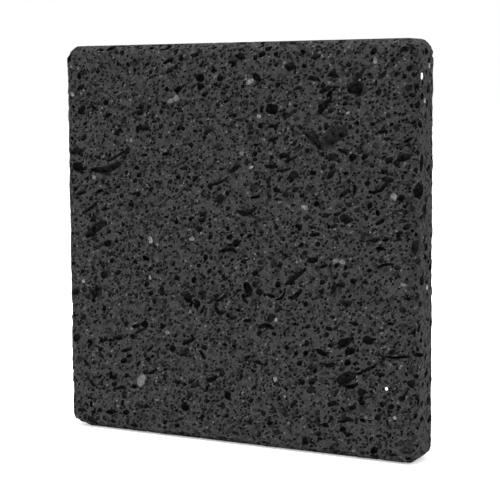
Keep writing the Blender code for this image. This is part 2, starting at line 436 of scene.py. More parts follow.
LOWER_RIGHT_CAVITIES = (
    (1.4, 1.5, (15.6, -8.9), (18.4, -7.0), (21.6, -4.7)),
    (1.5, 1.5, (17.5, -12.3), (19.2, -11.0), (20.5, -9.6)),
    (0.9, 0.9, (12.9, -12.7), (15.0, -12.0), (15.9, -9.9)),
    (2.5, 2.1, (4.7, -8.7), (5.4, -10.4), (5.5, -12.2)),
    (1.2, 1.2, (3.4, -12.5), (5.6, -11.8)),
    (1.8, 1.2, (7.6, -10.8), (9.5, -11.2)),
    (1.2, 1.2, (10.7, -11.5), (13.1, -12.0)),
    (1.2, 0.7, (5.4, -14.7), (8.5, -13.7)),
    (1.5, 0.7, (-0.8, -18.5), (2.8, -17.3)),
    (1.6, 1.5, (8.2, -19.7), (10.6, -19.1), (12.8, -19.9)),
    (1.1, 1.2, (3.9, -18.5), (6.3, -18.0)),
    (1.6, 1.3, (6.7, -6.9), (8.3, -5.9)),
    (1.1, 1.1, (13.5, -4.5), (15.3, -3.7)),
    (1.1, 1.0, (25.5, -4.1), (27.5, -3.3)),
    (1.0, 1.1, (28.9, -8.0), (32.1, -8.4)),
    (0.9, 0.9, (40.3, -3.7), (42.4, -2.6), (45.0, -2.5)),
    (1.3, 1.5, (32.0, -21.2), (34.5, -20.6)),
    (2.1, 1.8, (36.7, -20.4), (39.5, -21.3)),
    (1.8, 1.7, (31.9, -24.3), (34.9, -23.3)),
    (1.7, 1.6, (31.9, -27.1), (33.5, -26.1)),
    (1.4, 1.3, (26.7, -27.9), (29.5, -27.3)),
    (1.0, 1.0, (36.5, -28.5), (38.4, -27.6), (40.2, -26.8)),
    (2.9, 1.8, (29.8, -31.3), (32.2, -30.6), (35.0, -29.1)),
    (1.4, 1.7, (31.2, -32.1), (33.6, -32.5), (35.6, -31.3)),
    (1.5, 1.3, (27.2, -37.5), (30.0, -36.3)),
    (1.4, 1.2, (33.1, -37.9), (35.0, -36.9)),
    (1.3, 0.9, (17.3, -38.5), (19.1, -36.9)),
    (1.6, 1.3, (22.3, -32.7), (24.1, -31.5)),
    (1.4, 1.2, (19.7, -32.7), (21.3, -32.1)),
    (1.3, 1.3, (23.5, -29.9), (24.5, -28.7)),
    (1.3, 1.2, (7.3, -28.2), (9.1, -28.7)),
    (1.4, 1.1, (43.3, -36.5), (45.1, -35.9)),
    (1.3, 1.3, (30.5, -41.3), (33.7, -39.9)),
    (1.4, 1.3, (30.5, -43.3), (32.3, -42.5)),
    (1.3, 1.2, (32.1, -44.5), (33.5, -43.8)),
    (1.3, 1.2, (25.7, -42.5), (27.5, -42.1)),
    (1.1, 1.2, (10.5, -43.7), (12.3, -43.1)),
    (0.8, 1.2, (40.2, -24.1), (44.0, -24.5), (47.0, -24.2), (51.0, -23.6)),
)

# %% Torn cavities of the right narrow side
RIGHT_SIDE_CAVITIES = (
    (3.9, 2.8, (-4.2, 12.8), (-2.6, 16.6)),
    (1.9, 1.6, (-6.6, 9.8), (-5.2, 11.2)),
    (1.2, 1.2, (-3.6, 8.2), (-1.4, 8.9)),
    (1.5, 1.3, (-0.4, -29.6), (1.4, -28.4)),
    (1.2, 1.2, (-5.6, -23.6), (-3.4, -23.9), (-1.0, -24.2)),
    (1.6, 1.6, (5.6, 20.4), (6.4, 22.2)),
    (1.3, 1.4, (5.8, 38.0), (6.4, 39.4)),
    (1.4, 1.5, (5.8, 4.0), (6.4, 5.6)),
)
FRONT_CAVITIES = UPPER_RIGHT_CAVITIES + UPPER_LEFT_CAVITIES + LOWER_LEFT_CAVITIES + LOWER_RIGHT_CAVITIES
print("torn cavities on the front:", len(FRONT_CAVITIES))


# %% Cutting one torn cavity
def face_frame(normal):
    """A face as its middle and the directions across, up and out of it."""
    out = Vector(normal)
    middle = MIDDLE + Vector((out.x * SIZE.x, out.y * SIZE.y, out.z * SIZE.z)) / 2
    up = Vector((0.0, 1.0, 0.0)) if abs(out.z) > 0.5 else Vector((0.0, 0.0, 1.0))
    return middle, up.cross(out), up, out


def along(points, share):
    """The point at this share of a smooth path, and the path's direction there."""
    spans = len(points) - 1
    place = min(max(share, 0.0), 0.9999) * spans
    i = int(place)
    t = place - i
    before = points[max(i - 1, 0)]
    after = points[min(i + 2, spans)]
    start, end = points[i], points[i + 1]
    enter = (end - before) / 2
    leave = (after - start) / 2
    where = (
        start * (2 * t**3 - 3 * t**2 + 1) + enter * (t**3 - 2 * t**2 + t)
        + end * (3 * t**2 - 2 * t**3) + leave * (t**3 - t**2)
    )
    heading = (end - start) * (6 * t - 6 * t**2) + enter * (3 * t**2 - 4 * t + 1) + leave * (3 * t**2 - 2 * t)
    return where, heading.normalized()


DEEP_BURIAL = 0.2  # how far under the face a deep cavity is widest, as a share of its half depth
SHALLOW_BURIAL = -0.6  # a shallow cavity is the lower part of a bowl, with a gently sloping rim
SHALLOW = 0.6  # a cavity is shallow if its depth is less than this share of its width
BIG_CAVITY = 1.75 * MM  # wider cavities start from a finer ball
CAVITY_ROUGHNESS = 0.3
LUMPS = 1.6  # noise features per ball radius, for the broad lumps of a cavity
SMALL_LUMPS = 4.0


def torn_cavity(face, cavity, dice):
    """Lay a ball's points along a path in a face, as the cutter of one cavity."""
    middle, across, up, out = face
    width, depth = cavity[0] * MM, cavity[1] * MM
    points = [middle + across * (x * MM) + up * (z * MM) for x, z in cavity[2:]]
    segments, rings = (11, 14) if width >= BIG_CAVITY else (6, 7)
    bpy.ops.mesh.primitive_uv_sphere_add(segments=segments, ring_count=rings, radius=1.0)
    ball = bpy.context.object
    burial = SHALLOW_BURIAL if depth < SHALLOW * width else DEEP_BURIAL
    half_depth = depth / (1.0 + burial)
    shift = Vector([dice.uniform(-9.0, 9.0) for _ in range(3)])
    width /= math.sqrt(1.0 - burial**2)
    for corner in ball.data.vertices:
        lumps = noise.noise(corner.co * LUMPS + shift) + 0.4 * noise.noise(corner.co * SMALL_LUMPS + shift)
        spot = corner.co * (1.0 + CAVITY_ROUGHNESS * lumps)
        where, heading = along(points, (spot.z + 1.0) / 2.0)
        side = out.cross(heading)
        place = where + side * (spot.x * width / 2)
        corner.co = place + out * ((spot.y - burial) * half_depth)
    same_slots(ball)
    slot_all(ball, TORN_SLOT)
    return ball


def cut_torn_cavities(face, cavities, dice):
    """Cut a face's torn cavities one after the other."""
    for cavity in cavities:
        ball = torn_cavity(face, cavity, dice)
        boolean(stone, ball, "DIFFERENCE")
        discard(ball)


dice = random.Random(SEED)
FRONT = face_frame((0.0, -1.0, 0.0))
BACK = face_frame((0.0, 1.0, 0.0))
RIGHT = face_frame((1.0, 0.0, 0.0))
LEFT = face_frame((-1.0, 0.0, 0.0))
TOP = face_frame((0.0, 0.0, 1.0))
cut_torn_cavities(FRONT, FRONT_CAVITIES, dice)
cut_torn_cavities(RIGHT, RIGHT_SIDE_CAVITIES, dice)
print("with torn cavities:", triangles(stone), "triangles")

# %% [markdown]
# The faces that are turned away carry the same kind of cavities. No two slabs have them in
# the same places, so these are thrown with a seeded die, at the sizes of the front's. Short
# ones are far more common than long ones.


# %% Torn cavities of the other faces
SHORTEST, LONGEST = 1.9, 4.5  # lengths of a thrown cavity, in mm
MARGIN = 2.0  # clear width along a face's edges, in mm


def thrown_cavities(face, count, dice):
    """Choose a number of torn cavities for a face, along the lava's flow."""
    _, across, up, _ = face
    half_across = abs(across.dot(SIZE)) / 2 / MM - MARGIN
    half_up = abs(up.dot(SIZE)) / 2 / MM - MARGIN
    flow = Vector((math.cos(FLOW_TILT), 0.25, math.sin(FLOW_TILT)))
    lean = math.atan2(flow.dot(up), flow.dot(across))
    chosen = []
    for _ in range(count):
        length = SHORTEST + (LONGEST - SHORTEST) * dice.random() ** 2.5
        width = dice.uniform(1.0, 1.7) * (length / 2.4) ** 0.5
        tilt = lean + math.radians(dice.gauss(0.0, 20.0))
        run = Vector((math.cos(tilt), math.sin(tilt))) * length / 2
        bend = Vector((-run.y, run.x)) * dice.uniform(-0.25, 0.25)
        spot = Vector((dice.uniform(-half_across, half_across), dice.uniform(-half_up, half_up)))
        chosen.append((width, width * dice.uniform(0.7, 0.95), spot - run, spot + bend, spot + run))
    return chosen


BOTTOM = face_frame((0.0, 0.0, -1.0))
for face, count in ((BACK, 110), (RIGHT, 8), (LEFT, 13), (TOP, 13), (BOTTOM, 13)):
    cut_torn_cavities(face, thrown_cavities(face, count, dice), dice)
print("with every torn cavity:", triangles(stone), "triangles")

# %% [markdown]
# ## Feldspar crystals
#
# Pale crystals had grown in the lava before it froze. They are angular lumps, and the saw
# cut them level with the rock. So each one is a rough lump set in the face, the stone gets
# a socket of exactly its shape, and the lumps are then trimmed by a second block of the
# slab's size. Place, length, width and tilt are given for those of the front face. Two pure
# white spots, one on the front and one on the right narrow side, are made in the same way.

# %% Crystals of the front face
FRONT_CRYSTALS = (
    (-26.6, -36.0, 3.7, 2.6, 62),
    (-16.6, 35.8, 2.2, 1.2, 20),
    (-14.9, 36.4, 1.9, 1.6, 30),
    (6.3, 40.3, 2.6, 1.4, 22),
    (-28.8, 25.8, 1.5, 0.8, 60),
    (-23.2, 0.6, 1.4, 1.9, 10),
    (-46.9, 37.5, 1.4, 1.2, 0),
    (-10.8, 1.3, 1.9, 1.0, 5),
    (29.6, -2.3, 1.6, 1.0, 0),
    (31.4, -2.5, 1.7, 1.1, -8),
    (44.8, 13.4, 1.7, 1.7, 0),
    (21.3, 10.2, 1.9, 1.1, -20),
    (47.2, -7.1, 1.7, 0.8, -5),
    (39.9, 44.9, 1.1, 1.9, 10),
    (-18.4, -22.9, 1.4, 0.9, 0),
    (-11.5, -17.1, 0.8, 0.7, 0),
    (13.2, -17.5, 1.0, 1.1, 0),
    (-40.5, 16.2, 1.2, 1.1, 30),
    (6.6, 19.5, 1.5, 0.7, 30),
    (8.8, 31.9, 1.3, 1.0, 0),
    (-23.5, -9.2, 0.7, 1.5, 5),
    (15.6, -36.4, 0.7, 0.6, 0),
    (-29.3, -22.7, 1.0, 0.8, 0),
    (-44.3, -11.1, 1.1, 1.0, 40),
    (33.0, 32.8, 1.3, 0.6, 10),
    (45.2, -38.8, 1.1, 0.9, 0),
    (12.9, -32.3, 1.1, 1.2, 0),
)
# Two lumps drawn pure white, one on the front and one on the right narrow side, as x, z, length, width and
# tilt.
FRONT_WHITE_SPOT = (43.0, -32.0, 0.8, 0.9, 0)
RIGHT_WHITE_SPOT = (-2.6, 41.3, 1.3, 1.6, 0)
LUMP_ROUGHNESS = 0.28
LUMP_DEPTH = 0.55  # half a lump's depth, as a share of its width
LUMP_BURIAL = 0.2  # how far under the face its middle lies, as a share of half its depth
LUMP_FACETS = 2.6  # noise features per lump radius
CRYSTAL_MARGIN = 4.0  # clear width along a face's edges, in mm
SMALLEST_CRYSTAL, LARGEST_CRYSTAL = 0.8, 3.2  # lengths of a thrown crystal, in mm


def crystal_lump(face, crystal, dice):
    """One angular lump, its middle a little under the face."""
    middle, across, up, out = face
    x, z, length, width, tilt = crystal
    bpy.ops.mesh.primitive_ico_sphere_add(subdivisions=2, radius=1.0)
    lump = bpy.context.object
    turn = Matrix.Rotation(math.radians(tilt), 3, "Z")
    half_size = Vector((length, width, 0.0)) * (MM / 2)
    half_depth = LUMP_DEPTH * min(width, length) * MM
    centre = middle + across * (x * MM) + up * (z * MM) - out * (LUMP_BURIAL * half_depth)
    shift = Vector([dice.uniform(-9.0, 9.0) for _ in range(3)])
    for corner in lump.data.vertices:
        spot = corner.co * (1.0 + 2.0 * LUMP_ROUGHNESS * noise.noise(corner.co * LUMP_FACETS + shift))
        flat = turn @ Vector((spot.x * half_size.x, spot.y * half_size.y, 0.0))
        corner.co = centre + across * flat.x + up * flat.y + out * (spot.z * half_depth)
    return lump


def thrown_crystals(face, count, dice):
    """Choose a number of crystals for a face."""
    _, across, up, _ = face
    half_across = abs(across.dot(SIZE)) / 2 / MM - CRYSTAL_MARGIN
    half_up = abs(up.dot(SIZE)) / 2 / MM - CRYSTAL_MARGIN
    chosen = []
    for _ in range(count):
        x, z = dice.uniform(-half_across, half_across), dice.uniform(-half_up, half_up)
        length = SMALLEST_CRYSTAL + (LARGEST_CRYSTAL - SMALLEST_CRYSTAL) * dice.random() ** 2.5
        chosen.append((x, z, length, length * dice.uniform(0.45, 0.9), dice.uniform(0.0, 180.0)))
    return chosen


def join_all(name, items):
    """Join objects into one."""
    take(*items)
    bpy.ops.object.join()
    joined = bpy.context.object
    joined.name = name
    return joined


lumps = [crystal_lump(FRONT, crystal, dice) for crystal in FRONT_CRYSTALS]
for face, count in ((BACK, 26), (RIGHT, 3), (LEFT, 4), (TOP, 4)):
    lumps += [crystal_lump(face, crystal, dice) for crystal in thrown_crystals(face, count, dice)]
white_spot_lumps = [crystal_lump(FRONT, FRONT_WHITE_SPOT, dice), crystal_lump(RIGHT, RIGHT_WHITE_SPOT, dice)]
crystals = join_all("feldspar_crystals", lumps)
white_spots = join_all("pure_white_spots", white_spot_lumps)
blank = sawn_block("blank")
for inset in (crystals, white_spots):
    apply_place(inset)
    same_slots(inset)
    boolean(stone, inset, "DIFFERENCE")
    boolean(inset, blank, "INTERSECT")
print("crystals:", len(lumps), "with", triangles(crystals), "triangles")

# %% [markdown]
# ## Gas bubbles
#
# The saw opened every bubble that crossed its plane, and the tumbling opened those under
# the edges. So the bubbles are set along the whole skin of the block. What shows of each is
# an oval opening with a dark hollow under it, so each grade starts from the plainest
# primitive that has that: a ball with one pole outwards for the coarser ones, which widens
# under its rim, and a cone for the small ones. One is modelled for each grade, and
# its points are then copied, roughened, stretched along the flow and set in the skin with
# numpy, because thousands of copies made one by one with operators would take minutes.

# %% Grades of bubbles
# Name, smallest and largest opening in mm, openings per 1000 square mm, how much longer than
# wide they are, shape and sides.
BUBBLE_GRADES = (
    ("coarse", 1.75, 2.7, 15.0, 1.65, "egg", 9),
    ("medium", 1.4, 1.8, 26.0, 1.55, "egg", 7),
    ("fine", 1.12, 1.45, 68.0, 1.45, "pocket", 6),
    ("small", 0.9, 1.12, 100.0, 1.35, "pit", 6),
    ("tiny", 0.68, 0.9, 112.0, 1.25, "pit", 5),
)
FRONT_COARSE_SHARE = 0.3  # the front's coarse bubbles are mostly in the lists above
LARGE_GRADES = ("coarse", "medium")  # set in the block's skin; the others also line the cavities
CRYSTAL_CLEARANCE = 0.3 * MM
DEEPEST = 5.0 * MM  # how far below the skin a cavity's floor is looked for
BUBBLE_ROUGHNESS = 0.22  # how far a corner is moved in or out, as a share of its radius
STRETCH_SPREAD = 0.25
LONGEST_STRETCH = 2.8
SHALLOWEST, STEEPEST = 0.25, 0.95  # depth of a bubble, as shares of its opening
FLOW_SPREAD = math.radians(26)
FLOW_DEPTH_SWING = 0.2  # how far the flow turns out of the front face, in radians
throw = np.random.default_rng(SEED)

# For each shape, the height at which the skin cuts it and its radius there.
CUT_HEIGHT = {"egg": 0.35, "pocket": 0.25, "pit": 0.7}
CUT_RADIUS = {"egg": 0.86, "pocket": 0.87, "pit": 0.85}


def model_shape(shape, sides):
    """A unit egg, pocket or pit with its poles along Z, as its points and faces."""
    if shape == "egg":
        bpy.ops.mesh.primitive_uv_sphere_add(segments=sides, ring_count=4, radius=1.0)
    elif shape == "pocket":
        bpy.ops.mesh.primitive_uv_sphere_add(segments=sides, ring_count=3, radius=1.0)
    else:
        bpy.ops.mesh.primitive_cone_add(
            vertices=sides, radius1=0.0, radius2=1.0, depth=2.0, end_fill_type="NGON"
        )
    item = bpy.context.object
    points = np.array([corner.co[:] for corner in item.data.vertices])
    faces = [list(face.vertices) for face in item.data.polygons]
    discard(item)
    return points, faces


def skin_points(item, count):
    """Random points spread evenly over a mesh, with the way out of it at each."""
    item.data.calc_loop_triangles()
    corners = np.array([corner.co[:] for corner in item.data.vertices])
    sides = np.array([tri.vertices[:] for tri in item.data.loop_triangles])
    a, b, c = (corners[sides[:, i]] for i in range(3))
    cross = np.cross(b - a, c - a)
    area = np.linalg.norm(cross, axis=1) / 2
    chosen = throw.choice(len(sides), count, p=area / area.sum())
    u, v = throw.random((2, count))
    fold = u + v > 1.0
    u[fold], v[fold] = 1.0 - u[fold], 1.0 - v[fold]
    spots = a[chosen] + (b - a)[chosen] * u[:, None] + (c - a)[chosen] * v[:, None]
    return spots, cross[chosen] / (2 * area[chosen])[:, None]


def settle(spots, normals):
    """Drop points onto the stone's skin or into its torn cavities, and leave out those that meet a bubble."""
    settled = []
    for spot, normal in zip(spots, normals):
        above = Vector(spot + normal * MM)
        hit, place, out, index = stone.ray_cast(above, Vector(-normal), distance=DEEPEST)
        if hit and stone.data.polygons[index].material_index != BUBBLE_SLOT:
            settled.append((*place, *out))
    settled = np.array(settled)
    return settled[:, :3], settled[:, 3:]


def skin_area(item):
    """The area of a mesh, in square mm."""
    return sum(face.area for face in item.data.polygons) / MM**2


def skin_axes(normals, stretch):
    """Axes in the skin for each bubble, along and across the flow, and the stretch that shows."""
    count = len(normals)
    tilt = FLOW_TILT + throw.normal(0.0, FLOW_SPREAD, count)
    swing = throw.normal(FLOW_DEPTH_SWING, FLOW_DEPTH_SWING, count)
    flow = np.stack([np.cos(tilt) * np.cos(swing), np.sin(swing), np.sin(tilt) * np.cos(swing)], 1)
    lying = flow - normals * (flow * normals).sum(1)[:, None]
    length = np.linalg.norm(lying, axis=1)
    first = lying / length[:, None]
    return first, np.cross(normals, first), 1.0 + (stretch - 1.0) * length**2


def keep_apart(centres, reach, stretch):
    """Pick bubbles, in order, that keep clear of every one picked before."""
    flow = np.array([math.cos(FLOW_TILT), 0.0, math.sin(FLOW_TILT)])
    along_flow = (centres @ flow)[:, None]
    squeezed = centres * stretch**0.5 + along_flow * flow * (stretch**-0.5 - stretch**0.5)
    cell = 2 * reach.max()
    cells = {}
    kept = []
    for i, centre in enumerate(squeezed):
        key = tuple(np.floor(centre / cell).astype(int))
        near = [
            j
            for dx in (-1, 0, 1) for dy in (-1, 0, 1) for dz in (-1, 0, 1)
            for j in cells.get((key[0] + dx, key[1] + dy, key[2] + dz), ())
        ]
        gaps = np.linalg.norm(squeezed[near] - centre, axis=1) if near else np.empty(0)
        if (gaps > reach[near] + reach[i]).all():
            cells.setdefault(key, []).append(i)
            kept.append(i)
    return np.array(kept)


def clear_of_crystals(spots):
    """Which points keep clear of the front's crystals, most of which no bubble has cut."""
    middle, across, up, _ = FRONT
    places = np.array([middle + across * (x * MM) + up * (z * MM) for x, z, *_ in FRONT_CRYSTALS])
    reach = np.array([length / 2 * MM for _, _, length, *_ in FRONT_CRYSTALS]) + CRYSTAL_CLEARANCE
    return (np.linalg.norm(spots[:, None] - places, axis=2) > reach).all(axis=1)


def bubble_grade(name, smallest, largest, density, usual_stretch, shape, sides):
    """One mesh with all the bubbles of a grade, clear of each other."""
    count = round(density * skin_area(blank) / 1000)
    spots, normals = skin_points(blank, count)
    if name not in LARGE_GRADES:
        spots, normals = settle(spots, normals)
    count = len(spots)
    use = clear_of_crystals(spots)
    if name == "coarse":
        use &= (normals[:, 1] > -0.9) | (throw.random(count) < FRONT_COARSE_SHARE)
    elif name == "tiny":
        use &= (normals[:, 1] < 0.9) & (normals[:, 2] > -0.9)
    spots, normals, count = spots[use], normals[use], int(use.sum())
    opening = smallest * (largest / smallest) ** (throw.random(count) ** 1.4) * MM
    stretch = np.exp(throw.normal(math.log(usual_stretch), STRETCH_SPREAD, count)).clip(1.0, LONGEST_STRETCH)
    first, second, stretch = skin_axes(normals, stretch)
    radius = opening / 2 / CUT_RADIUS[shape]
    depth = opening * throw.uniform(SHALLOWEST, STEEPEST, count)
    reach = radius * (stretch / usual_stretch).clip(1.0, None) ** 0.5 * (1.0 + BUBBLE_ROUGHNESS)
    kept = keep_apart(spots, reach, usual_stretch)
    spots, normals, first, second = spots[kept], normals[kept], first[kept], second[kept]
    radius, stretch, depth, opening = radius[kept], stretch[kept], depth[kept], opening[kept]

    points, faces = model_shape(shape, sides)
    column = np.round(np.arctan2(points[:, 1], points[:, 0]) / (math.tau / sides)).astype(int) % sides
    rough = 1.0 + throw.uniform(-1.0, 1.0, (len(kept), sides)) * BUBBLE_ROUGHNESS
    spin = np.exp(1j * throw.uniform(0.0, math.tau, len(kept)))
    turned = (points[:, 0] + 1j * points[:, 1]) * rough[:, column] * spin[:, None]
    height = (points[:, 2] - CUT_HEIGHT[shape]) * (depth / (1.0 + CUT_HEIGHT[shape]))[:, None]
    lean = throw.normal(0.0, 0.25, (len(kept), 2))
    x = turned.real * (radius * stretch**0.5)[:, None] + height * lean[:, :1]
    y = turned.imag * (radius / stretch**0.5)[:, None] + height * lean[:, 1:]
    corners = spots[:, None] + x[..., None] * first[:, None] + y[..., None] * second[:, None]
    corners += height[..., None] * normals[:, None]

    mesh = bpy.data.meshes.new(name)
    starts = range(0, len(kept) * len(points), len(points))
    mesh.from_pydata(
        corners.reshape(-1, 3).tolist(), [], [[start + i for i in face] for start in starts for face in faces]
    )
    bubbles = bpy.data.objects.new(name, mesh)
    bpy.context.collection.objects.link(bubbles)
    same_slots(bubbles)
    slot_all(bubbles, BUBBLE_SLOT)
    print(name, "bubbles:", len(kept), "of", count)
    return bubbles


for grade in BUBBLE_GRADES:
    bubbles = bubble_grade(*grade)
    boolean(stone, bubbles, "DIFFERENCE")
    boolean(crystals, bubbles, "DIFFERENCE")
    discard(bubbles)
    print("  stone:", triangles(stone), "triangles; crystals:", triangles(crystals))
discard(blank)


# %% [markdown]
# ## One sound stone
#
# Where several bubbles meet they can cut a crumb loose, and a bubble that missed the skin
# would be a sealed void. Both are separate shells, so only the largest shell is kept.


# %% Keep the largest shell
def keep_largest_shell(item):
    """Remove every part of a mesh but its largest connected one."""
    take(item)
    bpy.ops.object.mode_set(mode="EDIT")
    bpy.ops.mesh.select_mode(type="VERT")
    bpy.ops.mesh.select_all(action="DESELECT")
    bpy.ops.object.mode_set(mode="OBJECT")
    far = max(item.data.vertices, key=lambda corner: corner.co.x)
    far.select = True
    bpy.ops.object.mode_set(mode="EDIT")
    bpy.ops.mesh.select_linked()
    bpy.ops.mesh.select_all(action="INVERT")
    bpy.ops.mesh.delete(type="VERT")
    bpy.ops.object.mode_set(mode="OBJECT")


before = len(stone.data.vertices)
keep_largest_shell(stone)
print("crumbs removed:", before - len(stone.data.vertices), "points;", triangles(stone), "triangles")


# %% [markdown]
# ## Shading
#
# The walls of the holes are shaded smooth, and their rims stay sharp. The holes leave the
# sawn and tumbled skin in long thin triangles, which would shade in streaks. So the skin
# takes its shading from the shape that it really has, a box with rounded edges: the
# direction out of it at a point is the one from the nearest point of the box's core.


# %% Shading
def shade(item, degrees):
    """Shade a mesh smooth, but for edges sharper than an angle."""
    take(item)
    bpy.ops.object.shade_smooth_by_angle(angle=math.radians(degrees))


def shade_skin(item):
    """Give the corners of the skin's faces the directions out of the rounded box."""
    mesh = item.data
    places = np.array([corner.co[:] for corner in mesh.vertices]) - np.array(MIDDLE)
    core = np.array(SIZE) / 2 - EDGE_RADIUS
    outwards = places - places.clip(-core, core)
    outwards /= np.linalg.norm(outwards, axis=1)[:, None].clip(1e-9, None)
    normals = np.zeros((len(mesh.loops), 3))
    for face in mesh.polygons:
        if face.material_index == FACE_SLOT:
            for loop in face.loop_indices:
                normals[loop] = outwards[mesh.loops[loop].vertex_index]
    mesh.normals_split_custom_set(normals.tolist())


shade(stone, 38)
shade_skin(stone)
shade(crystals, 25)
shade(white_spots, 25)

# %% [markdown]
# ## Materials
#
# The materials read Object coordinates, which are metres here, so each pattern's scale is
# one over a real size.


# %% Material helpers
def linear(code):
    """An sRGB hex colour as linear red, green, blue and alpha."""
    parts = [int(code[i : i + 2], 16) / 255 for i in (1, 3, 5)]
    return (*[p / 12.92 if p <= 0.04045 else ((p + 0.055) / 1.055) ** 2.4 for p in parts], 1.0)


def new_material(name):
    """An empty material with a Principled shader, its node tree and that shader."""
    material = bpy.data.materials.new(name)
    material.use_nodes = True
    return material, material.node_tree, material.node_tree.nodes["Principled BSDF"]


def add(tree, kind, inputs=None, **settings):
    """Add a node. Inputs are values or the sockets to link, by socket name or number."""
    made = tree.nodes.new(kind)
    for key, value in settings.items():
        setattr(made, key, value)
    for key, value in (inputs or {}).items():
        if isinstance(value, bpy.types.NodeSocket):
            tree.links.new(value, made.inputs[key])
        else:
            made.inputs[key].default_value = value
    return made


def blend_colours(tree, share, first, second):
    """Mix two colours by a share from 0 to 1, and return the mixed colour's socket."""
    mix = add(tree, "ShaderNodeMix", {0: share, 6: first, 7: second}, data_type="RGBA")
    return mix.outputs[2]


def ramp(tree, value, low, high):
    """Stretch the part of a value between two limits over 0 to 1."""
    made = add(tree, "ShaderNodeMapRange", {0: value, 1: low, 2: high}, interpolation_type="SMOOTHSTEP")
    return made.outputs[0]


def multiply(tree, first, second):
    """Multiply two values."""
    return add(tree, "ShaderNodeMath", {0: first, 1: second}, operation="MULTIPLY").outputs[0]


# %% [markdown]
# ### Sawn and tumbled vesicular basalt
#
# Basalt is a mesh of dark pyroxene and grey plagioclase grains of 0.1 to 0.3 mm. Sawing
# and tumbling leave it matt and a little dusty: a mottled dark grey. Between the bubbles
# that are modelled there are finer pinholes, and slivers of feldspar that catch the
# light. The pinholes are dents in the bump, drawn near black: painted shade of a hole,
# with its dark lining. Where the saw only grazed a bubble it left a shallow dish, which is
# not modelled but drawn as a darker spot: painted shade of the hollow, with its darker
# lining. All of these are drawn by Voronoi cells, of which only some carry a dot. Grains
# and pinholes of real size, 0.1 to 0.2 mm, would be too fine to show at arm's length, so
# they are drawn two to three times as large.

# %% Sawn basalt
GRAIN = 0.36 * MM
CLOUD = 1.6 * MM
PATCH = 7.0 * MM
DRAWN_STRETCH = 1.3
PINHOLE_CELL = 1.0 * MM
PINHOLE_RADIUS = 0.35 * MM
DISH_CELL = 1.9 * MM
DISH_RADIUS = 0.8 * MM
LATH = 0.5 * MM
WANDER = 0.9 * MM  # length over which the outline of a drawn dot wanders
RAGGED = 0.5 * MM  # and how far it wanders


def flow_coordinates(tree):
    """Object coordinates, and the same drawn out along the lava's flow and a little ragged."""
    place = add(tree, "ShaderNodeTexCoord").outputs["Object"]
    turned = add(tree, "ShaderNodeMapping", {"Vector": place}, vector_type="TEXTURE")
    turned.inputs["Rotation"].default_value = (0.0, -FLOW_TILT, 0.0)
    turned.inputs["Scale"].default_value = (DRAWN_STRETCH, 1.0, 1.0)
    wander = add(tree, "ShaderNodeTexNoise", {"Vector": place, "Scale": 1.0 / WANDER, "Detail": 1.0})
    evenly = {0: wander.outputs["Color"], 1: (0.5, 0.5, 0.5)}
    shift = add(tree, "ShaderNodeVectorMath", evenly, operation="SUBTRACT").outputs[0]
    ragged = {0: shift, 1: (RAGGED, RAGGED, RAGGED), 2: turned.outputs[0]}
    return place, add(tree, "ShaderNodeVectorMath", ragged, operation="MULTIPLY_ADD").outputs[0]


def dots(tree, place, cell, radius, share):
    """Soft dots of a radius in a share of the cells of a given size."""
    cells = add(tree, "ShaderNodeTexVoronoi", {"Vector": place, "Scale": 1.0 / cell})
    draw = add(tree, "ShaderNodeSeparateColor", {0: cells.outputs["Color"]}).outputs[0]
    chosen = add(tree, "ShaderNodeMath", {0: draw, 1: share}, operation="LESS_THAN").outputs[0]
    dot = ramp(tree, cells.outputs["Distance"], radius / cell, 0.7 * radius / cell)
    return multiply(tree, dot, chosen)


def noise_value(tree, place, size, detail, roughness=0.6):
    """Noise whose largest features have a given size."""
    made = add(tree, "ShaderNodeTexNoise", {"Vector": place, "Scale": 1.0 / size, "Detail": detail})
    made.inputs["Roughness"].default_value = roughness
    return made.outputs[0]


def grains(tree, place, size):
    """A random value from 0 to 1 for each grain of a given size, three times over."""
    cells = add(tree, "ShaderNodeTexVoronoi", {"Vector": place, "Scale": 1.0 / size})
    return add(tree, "ShaderNodeSeparateColor", {0: cells.outputs["Color"]}).outputs


